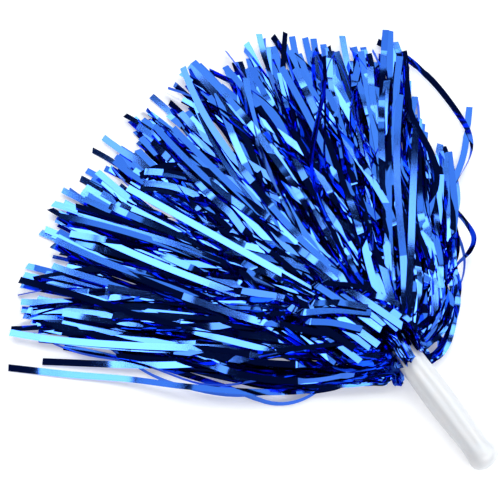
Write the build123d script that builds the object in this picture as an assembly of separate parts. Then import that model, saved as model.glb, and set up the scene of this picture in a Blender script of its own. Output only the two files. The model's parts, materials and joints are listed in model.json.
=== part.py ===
"""Cheer pom pom with a stick handle, lying on a flat surface. Millimetres, +Z up.

The handle runs back along -Y and the foil plume fans out over +Y. Everything is laid out from the
middle of the handle's mouth, and the finished nodes are then moved together, so that the origin is
the middle of the base of the whole object.

The plume is hundreds of narrow foil streamers. They are gathered here into locks, which are plain
closed wedges in three layers, one above another, with a few stray streamers beside the lowest.
"""

from build123d import *
import os
from math import cos, radians, sin, tan

# Handle: one hollow blow-moulded piece, open at its mouth
handle_length = 114.0
mouth_radius = 10.8
grip_radius = 12.0
waist_radius = 10.6
pommel_radius = 12.1
handle_wall = 1.5
grip_station = 0.50 * handle_length
waist_station = 0.82 * handle_length
pommel_station = 0.92 * handle_length
handle_tilt = 7.5

# Root of the foil, packed in the handle's mouth
plug_radius_deep = 2.4
plug_radius_mouth = 2.9
plug_start = 1.5
plug_length = 34.0
header_count = 5
header_bore = 3.0
header_thickness = 0.90
header_gap = 0.06
header_start = 2.5
header_length = 26.0
tape_thickness = 0.35
tape_start = 5.0
tape_length = 18.0
wire_diameter = 0.8
wire_station = 14.0
wire_twist_diameter = 1.0
wire_twist_length = 7.0

# Gathered neck of the plume, just outside the mouth
neck_gap = 3.8
neck_length = 24.0
neck_radius_inner = 8.6
neck_radius_outer = 14.0

# Streamers folded back on each side of the mouth. The pairs are the near and the far end
fold_back_angle = 84.0
fold_back_distance = (16.0, 58.0)
fold_back_base = (6.0, 0.6)
fold_back_width = (14.0, 30.0)
fold_back_thickness = (26.0, 15.0)

# Fan of streamer locks. Angles are measured from +Y, positive towards +X. Pairs are the lock's end near the
# mouth and its far end: the share of its sector that it fills, the height of its base, and its thickness
lock_inner_radius = 44.0
full_reach = 300.0
short_reach = 252.0
reach_falls_from = 22.0
fan_edge = 46.0
layers = {
    "floor_lock": dict(count=8, edge=45.0, fill=(0.82, 0.82), base=(0.0, 0.0), thick=(6.0, 5.0)),
    "middle_lock": dict(count=6, edge=43.0, fill=(0.70, 0.78), base=(17.0, 8.0), thick=(9.0, 5.0)),
    "crown_lock": dict(count=5, edge=39.0, fill=(0.42, 0.66), base=(36.0, 17.0), thick=(11.0, 6.0)),
}

# Stray streamers that lie alone on the surface beside the fan: angle, start and reach of each
streamer_width = 5.5
stray_thickness = 1.6
strays = [
    ("stray_left_inner", -54.5, 80.0, 284.0),
    ("stray_left_outer", -59.5, 80.0, 306.0),
    ("stray_right_inner", 54.5, 80.0, 218.0),
    ("stray_right_outer", 60.0, 80.0, 176.0),
]

mouth_height = pommel_radius / cos(radians(handle_tilt)) + pommel_station * sin(radians(handle_tilt))
mouth = Vector(0, 0, mouth_height)
handle_direction = Vector(0, -cos(radians(handle_tilt)), -sin(radians(handle_tilt)))
handle_frame = Plane(origin=mouth, x_dir=(1, 0, 0), z_dir=handle_direction)


def grip_solid(inset, start):
    """Solid of revolution under the grip's outline, drawn in by inset and begun at station start."""
    waist = (waist_radius - inset, waist_station)
    pommel = (pommel_radius - inset, pommel_station)
    middle = (grip_radius - inset, grip_station)
    first = (mouth_radius - inset, start)
    end = handle_length - inset
    shoulder = (0.72 * (pommel_radius - inset), pommel_station + 0.70 * (end - pommel_station))
    side = Spline([first, middle, waist, pommel], tangents=[(0, 1), (0, 1)])
    dome = Spline([pommel, shoulder, (0, end)], tangents=[(0, 1), (-1, 0)])
    base = Polyline([(0, end), (0, start), first])
    outline = make_face(Plane.XZ * (side + dome + base))
    return revolve(outline, Axis.Z)


def handle_shell():
    """The grip with its hollow taken out, open at the mouth."""
    return grip_solid(0, 0) - grip_solid(handle_wall, -1)


def ring(outer, inner, start, length):
    """Tube along the handle's axis, from station start."""
    tube = Cylinder(outer, length) - Cylinder(inner, length)
    return Pos(0, 0, start + length / 2) * tube


def core_plug():
    """Tapered plug that is driven into the rolled headers and wedges them."""
    return Pos(0, 0, plug_start + plug_length / 2) * Cone(plug_radius_mouth, plug_radius_deep, plug_length)


def foil_header(number):
    """The uncut edge of one foil sheet, rolled round the plug outside the sheet before it."""
    inner = header_bore + number * (header_thickness + header_gap)
    return ring(inner + header_thickness, inner, header_start, header_length)


def header_pack_radius():
    """Outer radius of the last header."""
    return header_bore + header_count * (header_thickness + header_gap) - header_gap


def header_tape():
    """Tape round the pack of headers."""
    inner = header_pack_radius() + header_gap
    return ring(inner + tape_thickness, inner, tape_start, tape_length)


def tie_wire():
    """Loop of wire that binds the taped headers, with its twisted ends laid along them towards the mouth."""
    bound_radius = header_pack_radius() + header_gap + tape_thickness + header_gap
    loop = Pos(0, 0, wire_station) * Torus(bound_radius + wire_diameter / 2, wire_diameter / 2)
    twist = Cylinder(wire_twist_diameter / 2, wire_twist_length)
    twist_middle = wire_station - wire_twist_length / 2
    return loop + Pos(0, bound_radius + wire_twist_diameter / 2, twist_middle) * twist


def neck_gather():
    """Gathered streamers just outside the mouth, a cone that opens towards the fan."""
    cone = Cone(neck_radius_inner, neck_radius_outer, neck_length)
    frame = Plane(origin=mouth + Vector(0, neck_gap + neck_length / 2, 0), x_dir=(1, 0, 0), z_dir=(0, 1, 0))
    return frame.location * cone


def reach(angle):
    """Distance from the mouth to the streamers' tips, which is less at the right-hand edge of the fan."""
    fall = max(0.0, angle - reach_falls_from) / (fan_edge - reach_falls_from)
    return full_reach - min(1.0, fall) * (full_reach - short_reach)


def wedge(angle, near, far):
    """Closed wedge along one direction of the fan. near and far are (radius, base height, width, thickness).
    Its corners run round the near end and then round the far end, and its six faces are flat."""
    outward = Vector(sin(radians(angle)), cos(radians(angle)), 0)
    across = Vector(cos(radians(angle)), -sin(radians(angle)), 0)
    corners = []
    for radius, base, width, thickness in (near, far):
        for side, height in ((-1, base), (1, base), (1, base + thickness), (-1, base + thickness)):
            corners.append(outward * radius + across * (side * width / 2) + Vector(0, 0, height))
    rings = [(0, 1, 2, 3), (4, 5, 6, 7), (0, 1, 5, 4), (1, 2, 6, 5), (2, 3, 7, 6), (3, 0, 4, 7)]
    faces = [make_face(Polyline([corners[i] for i in ring], close=True)).face() for ring in rings]
    return Solid(Shell(faces))


def layer_angles(layer):
    """Directions of a layer's locks, evenly spread between its two edges."""
    step = 2 * layer["edge"] / (layer["count"] - 1)
    return [-layer["edge"] + i * step for i in range(layer["count"])]


def lock(layer, angle):
    """One lock of a layer, which fills a share of its own sector of the fan."""
    step = 2 * layer["edge"] / (layer["count"] - 1)
    ends = []
    for radius, fill, base, thick in zip(
        (lock_inner_radius, reach(angle)), layer["fill"], layer["base"], layer["thick"]
    ):
        ends.append((radius, base, 2 * radius * tan(radians(0.5 * fill * step)), thick))
    return wedge(angle, *ends)


def fold_back(side):
    """The streamers folded back on one side of the mouth: side is -1 or 1."""
    ends = zip(fold_back_distance, fold_back_base, fold_back_width, fold_back_thickness)
    return wedge(side * fold_back_angle, *ends)


def stray(angle, start, end):
    """One stray streamer, flat on the surface."""
    near = (start, 0, streamer_width, stray_thickness)
    far = (end, 0, streamer_width, stray_thickness)
    return wedge(angle, near, far)


def all_nodes():
    """Every node by name, laid out from the mouth."""
    along_handle = {"handle_shell": handle_shell(), "core_plug": core_plug()}
    for number in range(header_count):
        along_handle[f"foil_header_{number + 1}"] = foil_header(number)
    along_handle["header_tape"] = header_tape()
    along_handle["tie_wire"] = tie_wire()
    nodes = {name: handle_frame.location * shape for name, shape in along_handle.items()}
    nodes["neck_gather"] = neck_gather()
    nodes["left_fold_back"] = fold_back(-1)
    nodes["right_fold_back"] = fold_back(1)
    for name, layer in layers.items():
        for number, angle in enumerate(layer_angles(layer), 1):
            nodes[f"{name}_{number}"] = lock(layer, angle)
    for name, angle, start, end in strays:
        nodes[name] = stray(angle, start, end)
    return nodes


def main():
    """Moves the nodes to the origin at the middle of the base, and writes one file each."""
    os.makedirs("parts", exist_ok=True)
    nodes = all_nodes()
    box = Compound(list(nodes.values())).bounding_box()
    to_origin = Pos(-box.center().X, -box.center().Y, -box.min.Z)
    for name, shape in nodes.items():
        export_step(to_origin * shape, f"parts/{name}.step")
    print("size", box.size, "mouth at", to_origin.position + mouth)


main()
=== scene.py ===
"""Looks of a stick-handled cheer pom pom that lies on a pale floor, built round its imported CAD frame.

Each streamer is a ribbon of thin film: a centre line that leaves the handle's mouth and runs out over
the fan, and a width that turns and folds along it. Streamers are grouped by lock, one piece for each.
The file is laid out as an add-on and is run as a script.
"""
import json
import math

import bmesh
import bpy
import numpy as np
from mathutils import Matrix, Vector


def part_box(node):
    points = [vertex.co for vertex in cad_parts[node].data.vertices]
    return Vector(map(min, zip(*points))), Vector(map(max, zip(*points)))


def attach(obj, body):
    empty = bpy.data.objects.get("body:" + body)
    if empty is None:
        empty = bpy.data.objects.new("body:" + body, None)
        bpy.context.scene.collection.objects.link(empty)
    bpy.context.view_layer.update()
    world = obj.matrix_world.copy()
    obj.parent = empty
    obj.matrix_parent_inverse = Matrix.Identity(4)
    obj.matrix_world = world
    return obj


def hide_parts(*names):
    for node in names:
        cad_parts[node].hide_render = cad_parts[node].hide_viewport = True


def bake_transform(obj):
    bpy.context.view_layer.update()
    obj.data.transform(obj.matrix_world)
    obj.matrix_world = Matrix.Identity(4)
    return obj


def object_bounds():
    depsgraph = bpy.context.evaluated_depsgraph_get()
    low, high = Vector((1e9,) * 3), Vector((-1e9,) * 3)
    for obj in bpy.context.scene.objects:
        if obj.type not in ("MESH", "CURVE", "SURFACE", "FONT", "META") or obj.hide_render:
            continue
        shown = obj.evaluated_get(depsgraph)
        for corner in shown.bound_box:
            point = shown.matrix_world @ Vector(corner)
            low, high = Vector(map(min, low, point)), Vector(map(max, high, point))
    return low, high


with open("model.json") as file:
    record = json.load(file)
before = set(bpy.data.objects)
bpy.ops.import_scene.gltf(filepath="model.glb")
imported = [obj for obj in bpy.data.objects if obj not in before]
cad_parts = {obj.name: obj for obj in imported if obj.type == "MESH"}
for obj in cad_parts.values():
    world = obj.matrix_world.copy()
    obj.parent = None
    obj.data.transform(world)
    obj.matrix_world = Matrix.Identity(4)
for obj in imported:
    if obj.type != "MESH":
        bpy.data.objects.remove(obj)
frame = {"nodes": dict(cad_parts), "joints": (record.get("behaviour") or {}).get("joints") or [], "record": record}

bl_info = {
    "name": "Cheer Pom Pom",
    "version": (1, 0, 0),
    "blender": (4, 5, 0),
    "location": "View3D > Sidebar > Pom Pom",
    "description": "Builds a foil pom pom with a frosted stick handle round its frame",
    "category": "Object",
}

CAD_BOX = [list(corner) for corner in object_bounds()]
MM = 0.001
UP = np.array([0.0, 0.0, 1.0])

# ---------------------------------------------------------------------------------------------
# Places read from the frame
# ---------------------------------------------------------------------------------------------


def joint(name):
    """The joint of that name in the frame."""
    return next(j for j in frame["joints"] if j["name"] == name)


def mount(name):
    """The mount of that name in the frame's record."""
    return next(m for m in frame["record"]["mounts"] if m["name"] == name)


MOUTH = np.array(joint("plume_sway")["pos_m"], float)
HANDLE_AXIS = np.array(mount("grip")["axis"], float)
HANDLE_AXIS /= np.linalg.norm(HANDLE_AXIS)
HANDLE_END = abs((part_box("handle_shell")[0].y - MOUTH[1]) / HANDLE_AXIS[1])


def fan_point(angle, radius, height):
    """A place over the fan: angle in degrees from +Y towards +X, distance from the mouth, height over
    the floor."""
    turn = np.radians(angle)
    return np.stack(
        [MOUTH[0] + radius * np.sin(turn), MOUTH[1] + radius * np.cos(turn), height + 0 * turn], -1
    )


def node_angle(node):
    """The direction of a lock or stray over the fan, in degrees, from the middle of its far end."""
    points = np.array([v.co for v in frame["nodes"][node].data.vertices])
    flat = points[:, :2] - MOUTH[:2]
    distance = np.linalg.norm(flat, axis=1)
    far = flat[distance > distance.max() - 2 * MM].mean(0)
    return math.degrees(math.atan2(far[0], far[1]))


# ---------------------------------------------------------------------------------------------
# Settings
# ---------------------------------------------------------------------------------------------


class HandleSettings(bpy.types.PropertyGroup):
    """Sizes of the moulded handle."""

    mouth_radius: bpy.props.FloatProperty(
        name="Mouth radius", description="Outer radius at the open mouth", default=0.0108, unit="LENGTH"
    )
    grip_radius: bpy.props.FloatProperty(
        name="Grip radius", description="Outer radius halfway along the grip", default=0.0120, unit="LENGTH"
    )
    waist_radius: bpy.props.FloatProperty(
        name="Waist radius", description="Outer radius before the pommel", default=0.0106, unit="LENGTH"
    )
    pommel_radius: bpy.props.FloatProperty(
        name="Pommel radius", description="Outer radius of the pommel", default=0.0121, unit="LENGTH"
    )
    wall: bpy.props.FloatProperty(
        name="Wall", description="Thickness of the plastic", default=0.0015, unit="LENGTH"
    )
    flute_count: bpy.props.IntProperty(
        name="Flutes", description="Soft ridges round the grip", default=9, min=0
    )
    flute_depth: bpy.props.FloatProperty(
        name="Flute depth", description="Depth of the soft ridges", default=0.00032, unit="LENGTH"
    )
    colour: bpy.props.FloatVectorProperty(
        name="Plastic", description="Colour of the frosted plastic", subtype="COLOR", size=3,
        default=(0.96, 0.955, 0.955),
    )


class FoilSettings(bpy.types.PropertyGroup):
    """Sizes and colours of the foil streamers."""

    width: bpy.props.FloatProperty(
        name="Width", description="Cut width of a streamer", default=0.0055, unit="LENGTH"
    )
    reach: bpy.props.FloatProperty(
        name="Reach", description="Longest distance from the mouth to a tip", default=0.309, unit="LENGTH"
    )
    floor_count: bpy.props.IntProperty(
        name="Floor streamers", description="Streamers in each lock of the lowest layer", default=24, min=1
    )
    middle_count: bpy.props.IntProperty(
        name="Middle streamers", description="Streamers in each lock of the middle layer", default=30, min=1
    )
    crown_count: bpy.props.IntProperty(
        name="Crown streamers", description="Streamers in each lock of the top layer", default=36, min=1
    )
    segments: bpy.props.IntProperty(
        name="Segments", description="Faces along one streamer", default=48, min=8
    )
    colour: bpy.props.FloatVectorProperty(
        name="Film", description="Colour of the metallic film", subtype="COLOR", size=3,
        default=(0.065, 0.198, 0.77),
    )


class StageSettings(bpy.types.PropertyGroup):
    """The floor, the lights and the camera."""

    azimuth: bpy.props.FloatProperty(
        name="Azimuth", description="Direction the camera looks from", default=math.radians(-36.2),
        subtype="ANGLE",
    )
    elevation: bpy.props.FloatProperty(
        name="Elevation", description="Height of the camera over the horizon", default=math.radians(67),
        subtype="ANGLE",
    )
    distance: bpy.props.FloatProperty(
        name="Distance", description="From the camera to the point it looks at", default=1.30, unit="LENGTH"
    )
    lens: bpy.props.FloatProperty(
        name="Lens", description="Focal length in millimetres", default=116.0
    )
    panel_height: bpy.props.FloatProperty(
        name="Panel height", description="Height of the light panels over the object", default=1.20,
        unit="LENGTH",
    )
    floor_colour: bpy.props.FloatVectorProperty(
        name="Floor", description="Colour of the floor", subtype="COLOR", size=3,
        default=(0.88, 0.89, 0.90),
    )


# ---------------------------------------------------------------------------------------------
# Shared node groups and materials
# ---------------------------------------------------------------------------------------------


def new_group(name, inputs, outputs):
    """An empty shader node group with float inputs {name: default}, plus one vector input, and float
    outputs."""
    group = bpy.data.node_groups.new(name, "ShaderNodeTree")
    group.interface.new_socket("Vector", in_out="INPUT", socket_type="NodeSocketVector")
    for label, default in inputs.items():
        socket = group.interface.new_socket(label, in_out="INPUT", socket_type="NodeSocketFloat")
        socket.default_value = default
    for label in outputs:
        group.interface.new_socket(label, in_out="OUTPUT", socket_type="NodeSocketFloat")
    start = group.nodes.new("NodeGroupInput")
    end = group.nodes.new("NodeGroupOutput")
    return group, start, end


def noise(tree, vector, scale, detail=2.0, roughness=0.5, distortion=0.0):
    """A noise texture node in that tree. scale is a number, or a socket to link."""
    node = tree.nodes.new("ShaderNodeTexNoise")
    node.inputs["Detail"].default_value = detail
    node.inputs["Roughness"].default_value = roughness
    node.inputs["Distortion"].default_value = distortion
    tree.links.new(vector, node.inputs["Vector"])
    if isinstance(scale, (int, float)):
        node.inputs["Scale"].default_value = scale
    else:
        tree.links.new(scale, node.inputs["Scale"])
    return node


def remap(tree, value, low, high, to_low, to_high):
    """A Map Range node that takes low..high to to_low..to_high, clamped."""
    node = tree.nodes.new("ShaderNodeMapRange")
    tree.links.new(value, node.inputs["Value"])
    for label, number in (("From Min", low), ("From Max", high), ("To Min", to_low), ("To Max", to_high)):
        node.inputs[label].default_value = number
    return node.outputs["Result"]


def math_node(tree, operation, a, b):
    """A Math node. a and b are sockets or numbers."""
    node = tree.nodes.new("ShaderNodeMath")
    node.operation = operation
    for socket, value in zip(node.inputs, (a, b)):
        if isinstance(value, (int, float)):
            socket.default_value = value
        else:
            tree.links.new(value, socket)
    return node.outputs["Value"]


def fine_grain_group():
    """Fine grain of a moulded or embossed surface: small noise as a height, and a slower cloud as a
    mask."""
    scales = {"Grain Scale": 2200.0, "Cloud Scale": 60.0}
    group, start, end = new_group("fine_grain", scales, ["Height", "Cloud"])
    grain = noise(group, start.outputs["Vector"], start.outputs["Grain Scale"], detail=1.0)
    cloud = noise(group, start.outputs["Vector"], start.outputs["Cloud Scale"], detail=3.0, roughness=0.6)
    group.links.new(grain.outputs["Fac"], end.inputs["Height"])
    group.links.new(remap(group, cloud.outputs["Fac"], 0.3, 0.7, 0.0, 1.0), end.inputs["Cloud"])
    return group


def place_group(material, group, vector, **values):
    """Puts a shared group in a material with its own values, and returns its node."""
    node = material.node_tree.nodes.new("ShaderNodeGroup")
    node.node_tree = group
    material.node_tree.links.new(vector, node.inputs["Vector"])
    for label, value in values.items():
        node.inputs[label.replace("_", " ")].default_value = value
    return node


def new_material(name):
    """A material with nodes, and its Principled BSDF and coordinates."""
    material = bpy.data.materials.new(name)
    material.use_nodes = True
    tree = material.node_tree
    shader = next(n for n in tree.nodes if n.type == "BSDF_PRINCIPLED")
    coordinates = tree.nodes.new("ShaderNodeTexCoord")
    return material, tree, shader, coordinates


def bump(tree, heights, shader):
    """A chain of Bump nodes, one for each (height socket, strength, distance), into the shader's Normal."""
    previous = None
    for height, strength, distance in heights:
        node = tree.nodes.new("ShaderNodeBump")
        node.inputs["Strength"].default_value = strength
        node.inputs["Distance"].default_value = distance
        tree.links.new(height, node.inputs["Height"])
        if previous:
            tree.links.new(previous, node.inputs["Normal"])
        previous = node.outputs["Normal"]
    tree.links.new(previous, shader.inputs["Normal"])


def mixed(tree, factor, a, b):
    """The colour between a and b by a factor socket. a and b are colours of three numbers, or sockets."""
    node = tree.nodes.new("ShaderNodeMix")
    node.data_type = "RGBA"
    tree.links.new(factor, node.inputs[0])
    colours = [s for s in node.inputs if s.type == "RGBA"]
    for socket, value in zip(colours, (a, b)):
        if isinstance(value, (tuple, list)):
            socket.default_value = (*value, 1.0)
        else:
            tree.links.new(value, socket)
    return next(s for s in node.outputs if s.type == "RGBA")


def foil_material(grain):
    """Blue metallised film: a tinted mirror that differs a little from streamer to streamer, with a
    fine grain."""
    colour = tuple(bpy.context.scene.pom_foil.colour)
    material, tree, shader, coordinates = new_material("blue_film")
    uv = coordinates.outputs["UV"]
    fine = place_group(material, grain, uv, Grain_Scale=1300.0, Cloud_Scale=30.0)
    tint = tree.nodes.new("ShaderNodeAttribute")
    tint.attribute_name = "tint"
    deep = tuple(c * k for c, k in zip(colour, (0.78, 0.84, 0.92)))
    light = tuple(min(1.0, c * k) for c, k in zip(colour, (1.22, 1.18, 1.08)))
    tree.links.new(mixed(tree, tint.outputs["Fac"], deep, light), shader.inputs["Base Color"])
    shader.inputs["Metallic"].default_value = 1.0
    rough = math_node(
        tree, "ADD", remap(tree, fine.outputs["Cloud"], 0.0, 1.0, 0.05, 0.08),
        remap(tree, fine.outputs["Height"], 0.35, 0.65, 0.0, 0.02),
    )
    tree.links.new(rough, shader.inputs["Roughness"])
    shader.inputs["Specular Tint"].default_value = (0.45, 0.48, 1.0, 1.0)
    bump(tree, [(fine.outputs["Height"], 0.20, 0.00004)], shader)


def plastic_material(grain):
    """Frosted white plastic: a pearly body with faint warm and cool clouds, flow streaks and a satin
    skin."""
    colour = tuple(bpy.context.scene.pom_handle.colour)
    material, tree, shader, coordinates = new_material("frosted_plastic")
    place = coordinates.outputs["Object"]
    fine = place_group(material, grain, place, Grain_Scale=1500.0, Cloud_Scale=70.0)
    stretch = tree.nodes.new("ShaderNodeMapping")
    stretch.inputs["Scale"].default_value = (260.0, 16.0, 260.0)
    tree.links.new(place, stretch.inputs["Vector"])
    streaks = noise(tree, stretch.outputs["Vector"], 1.0, detail=3.0, roughness=0.6, distortion=0.3)
    warm = tuple(c * k for c, k in zip(colour, (1.02, 0.985, 0.975)))
    cool = tuple(c * k for c, k in zip(colour, (0.955, 0.975, 1.01)))
    clouds = mixed(tree, fine.outputs["Cloud"], cool, warm)
    shade = remap(tree, streaks.outputs["Fac"], 0.35, 0.70, 0.0, 0.30)
    base = mixed(tree, shade, clouds, tuple(c * 0.88 for c in colour))
    tree.links.new(base, shader.inputs["Base Color"])
    shader.inputs["Subsurface Weight"].default_value = 0.45
    shader.inputs["Subsurface Radius"].default_value = (1.0, 0.95, 0.9)
    shader.inputs["Subsurface Scale"].default_value = 0.004
    shader.inputs["Coat Weight"].default_value = 0.35
    shader.inputs["Coat Roughness"].default_value = 0.22
    tree.links.new(
        remap(tree, streaks.outputs["Fac"], 0.3, 0.7, 0.30, 0.44), shader.inputs["Roughness"]
    )
    bump(tree, [(streaks.outputs["Fac"], 0.25, 0.0003), (fine.outputs["Height"], 0.12, 0.0001)], shader)


def plain_material(grain, name, colour, metallic, low, high, grain_scale):
    """A plain finish for an inner piece: its colour with clouds a little darker, and a grained
    roughness."""
    material, tree, shader, coordinates = new_material(name)
    place = coordinates.outputs["Object"]
    fine = place_group(material, grain, place, Grain_Scale=grain_scale, Cloud_Scale=180.0)
    base = mixed(tree, fine.outputs["Cloud"], tuple(c * 0.82 for c in colour), colour)
    tree.links.new(base, shader.inputs["Base Color"])
    shader.inputs["Metallic"].default_value = metallic
    tree.links.new(remap(tree, fine.outputs["Cloud"], 0.0, 1.0, low, high), shader.inputs["Roughness"])
    bump(tree, [(fine.outputs["Height"], 0.3, 0.0001)], shader)


# Plain finishes by slot: name, colour, metallic, lowest and highest roughness, scale of the grain
PLAIN_FINISHES = {
    "plug_plastic": ("plug_plastic", (0.62, 0.62, 0.60), 0.0, 0.45, 0.60, 1200.0),
    "tape": ("tape_backing", (0.72, 0.68, 0.58), 0.0, 0.35, 0.55, 2600.0),
    "wire": ("drawn_wire", (0.58, 0.58, 0.60), 1.0, 0.22, 0.34, 3000.0),
}
FINISH_NAMES = {"foil": "blue_film", "handle_plastic": "frosted_plastic"}
FINISH_NAMES.update({slot: values[0] for slot, values in PLAIN_FINISHES.items()})


def make_materials():
    """Every finish of the object."""
    grain = fine_grain_group()
    foil_material(grain)
    plastic_material(grain)
    for values in PLAIN_FINISHES.values():
        plain_material(grain, *values)


def finish(slot):
    """The material of a slot, made with all the others when first asked for."""
    if FINISH_NAMES[slot] not in bpy.data.materials:
        make_materials()
    return bpy.data.materials[FINISH_NAMES[slot]]


# ---------------------------------------------------------------------------------------------
# Ribbons of film
# ---------------------------------------------------------------------------------------------


def smooth_step(x):
    """0 below 0, 1 above 1, and the cubic 3x^2 - 2x^3 between."""
    x = np.clip(x, 0.0, 1.0)
    return x * x * (3.0 - 2.0 * x)


def unit(v):
    """Each vector divided by its length."""
    return v / np.maximum(np.linalg.norm(v, axis=-1, keepdims=True), 1e-9)


def pick_creases(rng, distance, near_share, far_share, fade):
    """Which stations of each streamer are creased: at random, with a share that falls from near_share
    at the mouth to far_share beyond the distance fade, and never two in a row."""
    share = far_share + (near_share - far_share) * np.exp(-np.maximum(distance, 0.0) / fade)
    creased = rng.random(distance.shape) < share
    creased[:, 1:] &= ~creased[:, :-1]
    creased[:, [0, 1, -2, -1]] = False
    return creased


def corners_of(creased):
    """The stations where one streamer bends: its first, each crease and its last."""
    return np.concatenate([[0], np.flatnonzero(creased), [creased.size - 1]])


def zigzag(rng, creased, amount):
    """A wave that is straight between creases: a random height at each crease and end, joined by
    straight lines."""
    stations = np.arange(creased.shape[1])
    rows = []
    for row in creased:
        corners = corners_of(row)
        rows.append(np.interp(stations, corners, rng.normal(0.0, amount, corners.size)))
    return np.array(rows)


def held(values, creased):
    """Values held along each facet, the stretch between two creases: each station's value before it and
    after it, both taken where the facet starts."""
    stations = np.arange(creased.shape[1])
    after = np.maximum.accumulate(np.where(creased, stations, 0), axis=1)
    before = np.where(creased, np.roll(after, 1, axis=1), after)
    return np.take_along_axis(values, before, 1), np.take_along_axis(values, after, 1)


def straightened(values, creased, share):
    """Values drawn by that share towards the straight lines that join them from crease to crease."""
    stations = np.arange(creased.shape[1])
    lines = []
    for row, line in zip(creased, values):
        corners = corners_of(row)
        lines.append(np.interp(stations, corners, line[corners]))
    return values + share * (np.array(lines) - values)


def tangents(centre):
    """The direction of each line at each station."""
    return unit(np.gradient(centre, axis=1))


def level_width(tangent):
    """The width direction of a flat strip: level, and square to the tangent."""
    return unit(np.cross(tangent, UP))


def carried_width(tangent, start):
    """The width direction carried along each line without turning about it: at each station the last
    one, less its part along the tangent. It goes through folds where a level direction would flip."""
    width = np.empty_like(tangent)
    width[:, 0] = unit(start - np.sum(start * tangent[:, 0], axis=-1, keepdims=True) * tangent[:, 0])
    for station in range(1, tangent.shape[1]):
        along, last = tangent[:, station], width[:, station - 1]
        width[:, station] = unit(last - np.sum(last * along, axis=-1, keepdims=True) * along)
    return width


def turned(width, tangent, roll):
    """A width direction made square to the tangent, and turned about it by roll."""
    flat = unit(width - np.sum(width * tangent, axis=-1, keepdims=True) * tangent)
    raised = np.cross(flat, tangent)
    return flat * np.cos(roll)[..., None] + raised * np.sin(roll)[..., None]


# A fold is used where its two planes differ by this sine, and where its line is at least this much
# across the ribbon. Its edge points move out by up to the inverse of the last number
LEAST_FOLD = 0.03
STEEPEST_FOLD = 0.30
STEEPEST_STRETCH = 0.70


def ribbon_edges(centre, width, roll_before, roll_after, creased, half_width, cut):
    """The two long edges of each ribbon.

    Between creases an edge is the centre line plus or minus half the width along the width direction. At a
    crease two facets meet in the line where their planes cross, so both edge points lie on that line, where
    it leaves the ribbon. The last station is slanted by cut, a share of the half width."""
    tangent = tangents(centre)
    into = unit(centre - np.roll(centre, 1, axis=1))
    out_of = unit(np.roll(centre, -1, axis=1) - centre)
    plain = turned(width, tangent, 0.5 * (roll_before + roll_after))
    width_in = turned(width, into, roll_before)
    width_out = turned(width, out_of, roll_after)
    fold = np.cross(np.cross(into, width_in), np.cross(out_of, width_out))
    clear = np.linalg.norm(fold, axis=-1) > LEAST_FOLD
    fold = unit(fold)
    across = np.sum(fold * plain, axis=-1)
    fold = fold * np.sign(across)[..., None]
    stretch = 1.0 / np.maximum(np.abs(across), STEEPEST_STRETCH)
    usable = creased & clear & (np.abs(across) > STEEPEST_FOLD)
    direction = np.where(usable[..., None], fold * stretch[..., None], plain)
    offset = direction * half_width
    offset[:, -1] += tangent[:, -1] * (half_width * cut)[:, None]
    return centre - offset, centre + offset


def keep_over_floor(left, right, clearance):
    """Lifts each station so that neither edge point is under the floor's clearance."""
    low = np.minimum(left[..., 2], right[..., 2])
    lift = np.maximum(clearance - low, 0.0)
    left[..., 2] += lift
    right[..., 2] += lift
    return left, right


def ribbon_object(name, left, right, creased, tints, seed):
    """One mesh of all the ribbons: station by station two points, one face between two stations, a crease
    edge marked sharp. The UV map is in metres, across and along, shifted for each ribbon, and the attribute
    tint is one shade for each ribbon."""
    count, stations = creased.shape
    points = np.stack([left, right], axis=2)
    index = np.arange(count * stations * 2).reshape(count, stations, 2)
    faces = np.stack(
        [index[:, :-1, 0], index[:, :-1, 1], index[:, 1:, 1], index[:, 1:, 0]], axis=-1
    ).reshape(-1, 4)
    mesh = bpy.data.meshes.new(name)
    mesh.from_pydata(points.reshape(-1, 3), [], faces.tolist(), shade_flat=False)
    middle = 0.5 * (left + right)
    steps = np.linalg.norm(np.diff(middle, axis=1), axis=-1)
    along = np.concatenate([np.zeros((count, 1)), np.cumsum(steps, axis=1)], axis=1)
    width = np.linalg.norm(right - left, axis=-1)
    shift = np.random.default_rng(seed + 7919).random((count, 1, 1)) * 3.0
    across = np.stack([-0.5 * width, 0.5 * width], axis=-1)
    uv = np.stack([across + shift, np.repeat(along[..., None], 2, axis=2) + shift], axis=-1).reshape(-1, 2)
    layer = mesh.uv_layers.new(name="UVMap")
    layer.data.foreach_set("uv", uv[faces.ravel()].astype(np.float32).ravel())
    shade = mesh.attributes.new("tint", "FLOAT", "POINT")
    shade.data.foreach_set("value", np.repeat(tints, stations * 2).astype(np.float32))
    ends = np.zeros(len(mesh.edges) * 2, np.int64)
    mesh.edges.foreach_get("vertices", ends)
    ends = ends.reshape(-1, 2) // 2
    sharp = (ends[:, 0] == ends[:, 1]) & creased.ravel()[ends[:, 0]]
    mark = mesh.attributes.new("sharp_edge", "BOOLEAN", "EDGE")
    mark.data.foreach_set("value", sharp)
    mesh.update()
    mesh.materials.append(finish("foil"))
    made = bpy.data.objects.new(name, mesh)
    bpy.context.scene.collection.objects.link(made)
    return made


# Each layer's streamers: the heights of the hump and of the tip in mm, from its lowest streamer to its
# highest, the share of the fan's outline that the shortest reach, how far a comb's direction leans and
# how far the root's does, in degrees, the share of curled ones, and the size of the turns of the film,
# in degrees
LAYERS = {
    "floor": dict(
        hump=(4.0, 15.0), tip=(0.6, 4.0), short=0.90,
        lean=4.0, root=18.0, curled=0.08, roll=15.0,
    ),
    "middle": dict(
        hump=(17.0, 32.0), tip=(3.0, 9.0), short=0.86,
        lean=7.0, root=26.0, curled=0.20, roll=19.0,
    ),
    "crown": dict(
        hump=(29.0, 44.0), tip=(6.0, 17.0), short=0.78,
        lean=10.0, root=32.0, curled=0.28, roll=24.0,
    ),
}

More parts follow.
